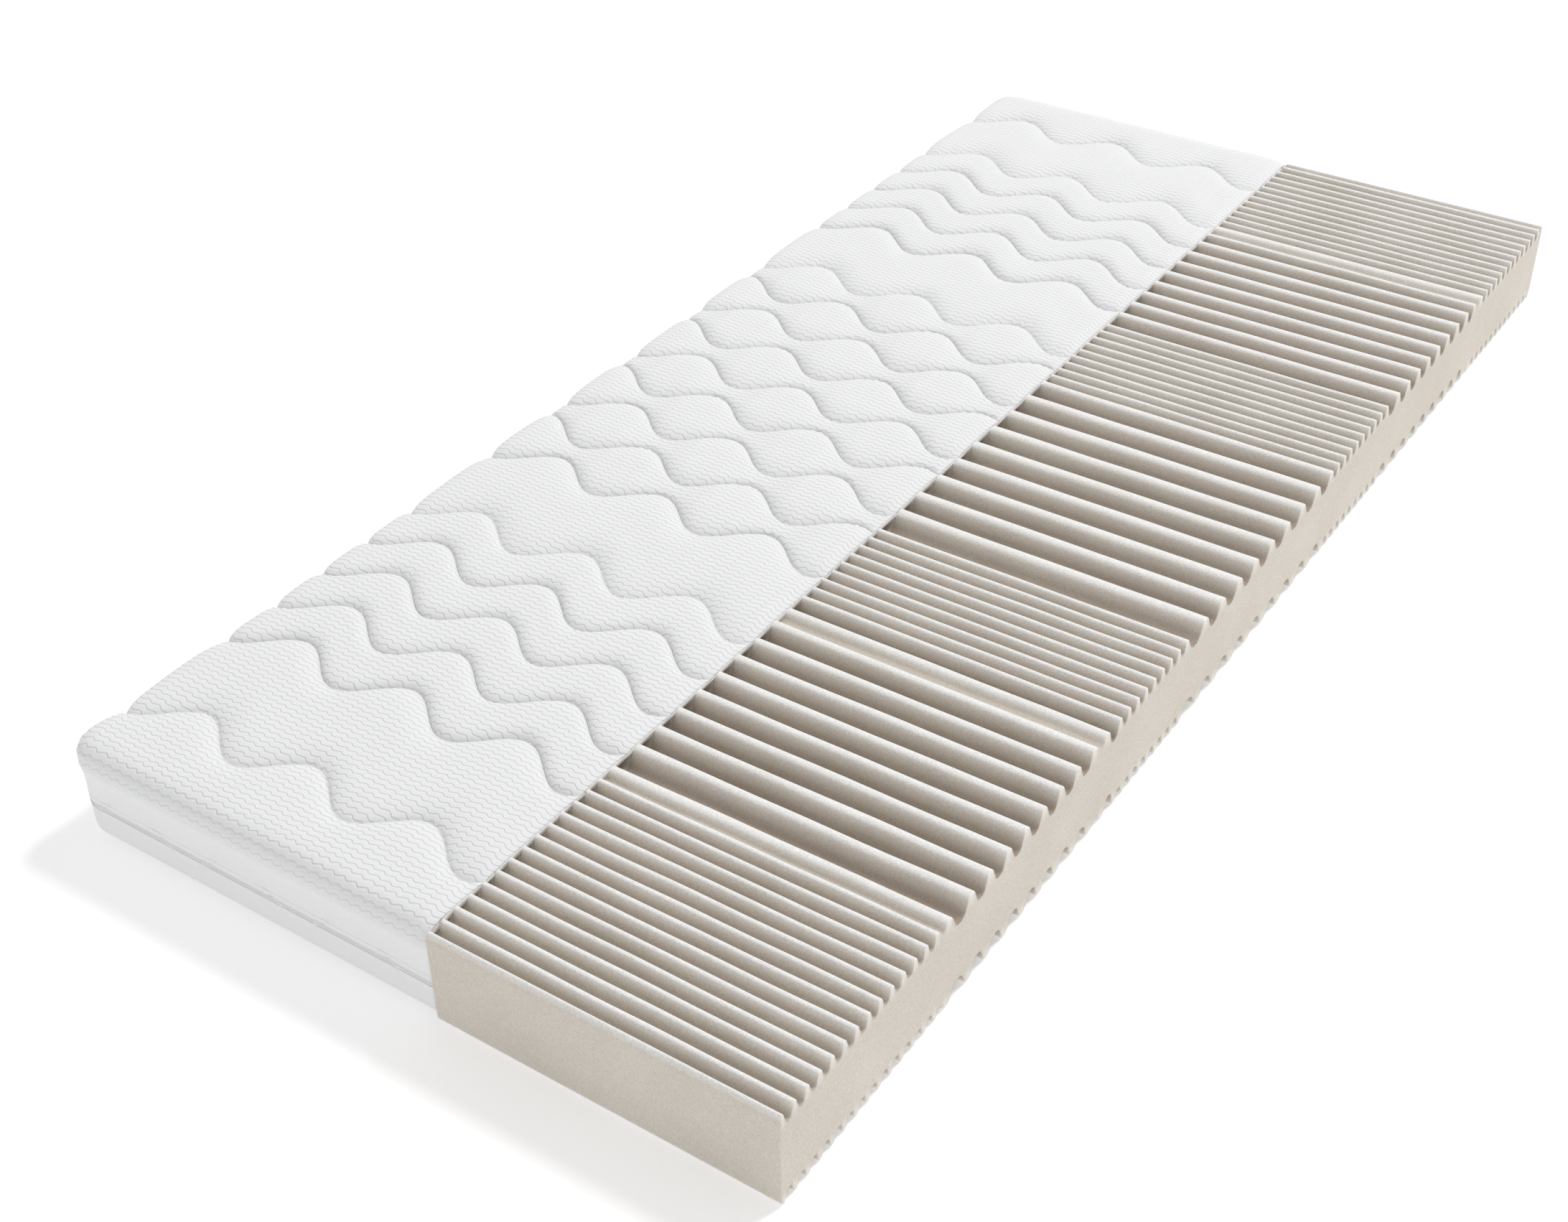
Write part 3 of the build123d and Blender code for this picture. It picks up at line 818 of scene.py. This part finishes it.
def plain_cloth_material(name, tone, fibre, scale, depth, roughness):
    """Woven or felted cloth with fibre grain."""
    material, tree, shader = new_material(name)
    place = node(tree, "ShaderNodeTexCoord").outputs["Object"]
    grain = place_group(tree, fibre, {"Vector": place, "Scale": scale})
    tree.links.new(shaded(tree, (*tone, 1), grain["Shade"]), shader.inputs["Base Color"])
    shader.inputs["Roughness"].default_value = roughness
    bump = node(tree, "ShaderNodeBump", {"Height": grain["Height"], "Strength": 0.5, "Distance": depth})
    tree.links.new(bump.outputs["Normal"], shader.inputs["Normal"])
    return material


def metal_material(fibre):
    """White painted zip metal with a faint orange-peel surface."""
    material, tree, shader = new_material("zip_paint")
    place = node(tree, "ShaderNodeTexCoord").outputs["Object"]
    grain = place_group(tree, fibre, {"Vector": place, "Scale": 1500.0})
    tone = (0.82, 0.82, 0.82, 1)
    tree.links.new(shaded(tree, tone, grain["Shade"]), shader.inputs["Base Color"])
    shader.inputs["Roughness"].default_value = 0.38
    shader.inputs["Coat Weight"].default_value = 0.3
    bump = node(tree, "ShaderNodeBump", {"Height": grain["Height"], "Strength": 0.1, "Distance": 0.0002})
    tree.links.new(bump.outputs["Normal"], shader.inputs["Normal"])
    return material


def shared(name, make):
    """A node group or material that is built the first time it is asked for."""
    found = bpy.data.node_groups.get(name) or bpy.data.materials.get(name)
    return found or make()


def dress(obj, material):
    """Gives a piece one material."""
    obj.data.materials.clear()
    obj.data.materials.append(material)


# ---------------------------------------------------------------- operators
class MATTRESS_OT_foam_core(bpy.types.Operator):
    """Builds the ribbed foam block"""

    bl_idname = "mattress.foam_core"
    bl_label = "Foam Core"

    def execute(self, context):
        settings = context.scene.mattress_foam
        core = build_core(settings)
        dress(core, foam_material(settings, shared("foam_cells", foam_cells_group)))
        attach(core, "covered_core")
        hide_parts("foam_core")
        return {"FINISHED"}


class MATTRESS_OT_cover(bpy.types.Operator):
    """Builds the three layers of both halves of the quilted cover"""

    bl_idname = "mattress.cover"
    bl_label = "Quilted Cover"

    def execute(self, context):
        settings = context.scene.mattress_cover
        rows = shared("knit_rows", knit_rows_group)
        fibre = shared("fibre_grain", fibre_group)
        knit = knit_material(settings, rows, fibre, "knitted_cover", 0.00052)
        felt = plain_cloth_material("wadding_felt", (0.90, 0.90, 0.90), fibre, 500.0, 0.001, 0.95)
        backing = plain_cloth_material("lining_cloth", (0.80, 0.80, 0.79), fibre, 1400.0, 0.0004, 0.9)
        fabric, wadding, lining = LAYER_INSETS
        for side, upper, body in (("upper", True, "upper_cover"), ("lower", False, "covered_core")):
            layers = (
                ("fabric", "quilted_panel", (fabric, 1.0), (settings.fabric, 1.0),
                 True, knit, "cover_knit"),
                ("wadding", "padding", (wadding + 0.0002, 1.0), (lining - 0.0001, 0.0),
                 False, felt, "wadding"),
                ("lining", "backing", (lining, 0.0), (CORE_INSET - 0.0003, 0.0),
                 False, backing, "lining"),
            )
            for layer, name, top, bottom, fine, finish, slot in layers:
                piece = build_cover_layer(settings, f"{side}_{name}", upper, top, bottom, fine)
                dress(piece, finish)
                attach(piece, body)
                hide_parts(f"{side}_cover_{layer}")
        return {"FINISHED"}


class MATTRESS_OT_sewing(bpy.types.Operator):
    """Finishes the stitched seams and the zip fastener"""

    bl_idname = "mattress.sewing"
    bl_label = "Stitching and Zip"

    def execute(self, context):
        settings = context.scene.mattress_cover
        fibre = shared("fibre_grain", fibre_group)
        thread = plain_cloth_material("sewing_thread", (0.80, 0.80, 0.79), fibre, 2600.0, 0.0003, 0.7)
        tape = plain_cloth_material("zip_tape_weave", (0.90, 0.90, 0.90), fibre, 2000.0, 0.0003, 0.85)
        coil = plain_cloth_material("zip_coil_nylon", (0.88, 0.88, 0.88), fibre, 900.0, 0.0002, 0.45)
        paint = metal_material(fibre)
        for side, upper, body in (("upper", True, "upper_cover"), ("lower", False, "covered_core")):
            low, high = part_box(f"{side}_zip_stitching")
            seam_low, seam_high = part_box(f"{side}_corner_seams")
            levels = (low.z + CAD_THREAD, high.z - CAD_THREAD)
            quilting = quilt_stitches(settings, f"{side}_quilting_stitches", upper)
            zip_rows = side_stitches(f"{side}_zip_stitches", levels)
            darts = corner_stitches(f"{side}_corner_stitches", seam_low.z, seam_high.z)
            sewn = ((quilting, "quilting_thread"), (zip_rows, "zip_stitching"), (darts, "corner_seams"))
            for piece, stood_for in sewn:
                dress(piece, thread)
                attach(piece, body)
                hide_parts(f"{side}_{stood_for}")
        for name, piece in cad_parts.items():
            if piece.hide_render:
                continue
            finish = paint
            if "tape" in name:
                finish = tape
            if "coil" in name:
                finish = coil
            dress(piece, finish)
        return {"FINISHED"}


class MATTRESS_OT_stage(bpy.types.Operator):
    """Sets up the floor, the light and the camera"""

    bl_idname = "mattress.stage"
    bl_label = "Studio Stage"

    def execute(self, context):
        settings = context.scene.mattress_stage
        build_floor()
        build_lights(settings)
        build_camera(settings)
        return {"FINISHED"}


def build_floor():
    """A wide flat floor just under the mattress, which glows a little more the farther it goes, so
    that it meets the white surround without a line."""
    side = np.linspace(-1, 1, 9)
    line = np.sign(side) * side**2 * FLOOR_HALF
    grid_x, grid_y = np.meshgrid(line, line)
    points = np.stack([grid_x, grid_y, np.full_like(grid_x, -FLOOR_DROP)], -1).reshape(-1, 3)
    floor = new_mesh("studio_floor", points, grid_faces(len(line), len(line)))
    material, tree, shader = new_material("floor_paint")
    place = node(tree, "ShaderNodeTexCoord").outputs["Object"]
    noise = node(tree, "ShaderNodeTexNoise", {"Vector": place, "Scale": 3.0}).outputs["Fac"]
    shader.inputs["Base Color"].default_value = (0.95, 0.95, 0.95, 1)
    far = node(tree, "ShaderNodeVectorMath", {0: place}, operation="LENGTH").outputs["Value"]
    glow = node(tree, "ShaderNodeMapRange", {
        "Value": far, "From Min": 1.8, "From Max": 8.0, "To Min": 0.24, "To Max": 0.75,
    }).outputs["Result"]
    tree.links.new(glow, shader.inputs["Emission Color"])
    shader.inputs["Emission Strength"].default_value = 1.0
    tree.links.new(calc(tree, "MULTIPLY_ADD", noise, 0.1, 0.75), shader.inputs["Roughness"])
    dress(floor, material)


def build_lights(settings):
    """An even surround, seen as pure white, and one broad key high behind the right side."""
    world = bpy.data.worlds.new("studio_surround")
    bpy.context.scene.world = world
    world.use_nodes = True
    tree = world.node_tree
    surround = tree.nodes["Background"]
    surround.inputs["Color"].default_value = (1.0, 1.0, 1.0, 1)
    seen = node(tree, "ShaderNodeLightPath").outputs["Is Camera Ray"]
    tree.links.new(calc(tree, "MULTIPLY_ADD", seen, 0.5, 0.64), surround.inputs["Strength"])
    lamp = bpy.data.lights.new("key_light", "AREA")
    lamp.shape, lamp.size, lamp.energy = "DISK", KEY_SIZE, settings.key
    obj = bpy.data.objects.new("key_light", lamp)
    bpy.context.scene.collection.objects.link(obj)
    obj.location = KEY_PLACE
    obj.rotation_euler = (-KEY_PLACE).to_track_quat("-Z", "Y").to_euler()


def build_camera(settings):
    """A camera at the settings' place, looking down along their azimuth and elevation."""
    turn, rise = math.radians(settings.azimuth), math.radians(settings.elevation)
    back = Vector((math.sin(turn) * math.cos(rise), -math.cos(turn) * math.cos(rise), math.sin(rise)))
    lens = bpy.data.cameras.new("studio_camera")
    lens.lens = settings.lens
    lens.clip_start, lens.clip_end = 0.05, 100
    camera = bpy.data.objects.new("studio_camera", lens)
    bpy.context.scene.collection.objects.link(camera)
    camera.rotation_mode = "QUATERNION"
    camera.location = settings.place
    tilt = Quaternion(-back, math.radians(settings.roll))
    camera.rotation_quaternion = tilt @ (-back).to_track_quat("-Z", "Y")
    bpy.context.scene.camera = camera
    bpy.context.scene.view_settings.view_transform = "Standard"


class MATTRESS_PT_sidebar(bpy.types.Panel):
    """Lists the mattress's pieces"""

    bl_idname = "MATTRESS_PT_sidebar"
    bl_label = "Cutaway Mattress"
    bl_space_type = "VIEW_3D"
    bl_region_type = "UI"
    bl_category = "Mattress"

    def draw(self, context):
        for operator in OPERATORS:
            self.layout.operator(operator.bl_idname)
        for name in SETTINGS:
            group = getattr(context.scene, name)
            for key in group.__annotations__:
                self.layout.prop(group, key)


OPERATORS = (MATTRESS_OT_foam_core, MATTRESS_OT_cover, MATTRESS_OT_sewing, MATTRESS_OT_stage)
SETTINGS = {
    "mattress_foam": FoamSettings,
    "mattress_cover": CoverSettings,
    "mattress_stage": StageSettings,
}


def register():
    """Registers the settings, operators and panel."""
    for name, kind in SETTINGS.items():
        bpy.utils.register_class(kind)
        setattr(bpy.types.Scene, name, PointerProperty(type=kind))
    for kind in (*OPERATORS, MATTRESS_PT_sidebar):
        bpy.utils.register_class(kind)


def unregister():
    """Takes the settings, operators and panel away again."""
    for kind in (MATTRESS_PT_sidebar, *reversed(OPERATORS)):
        bpy.utils.unregister_class(kind)
    for name, kind in reversed(list(SETTINGS.items())):
        delattr(bpy.types.Scene, name)
        bpy.utils.unregister_class(kind)


def main():
    register()
    bpy.ops.mattress.foam_core()
    bpy.ops.mattress.cover()
    bpy.ops.mattress.sewing()
    bpy.ops.mattress.stage()


if __name__ == "__main__":
    main()
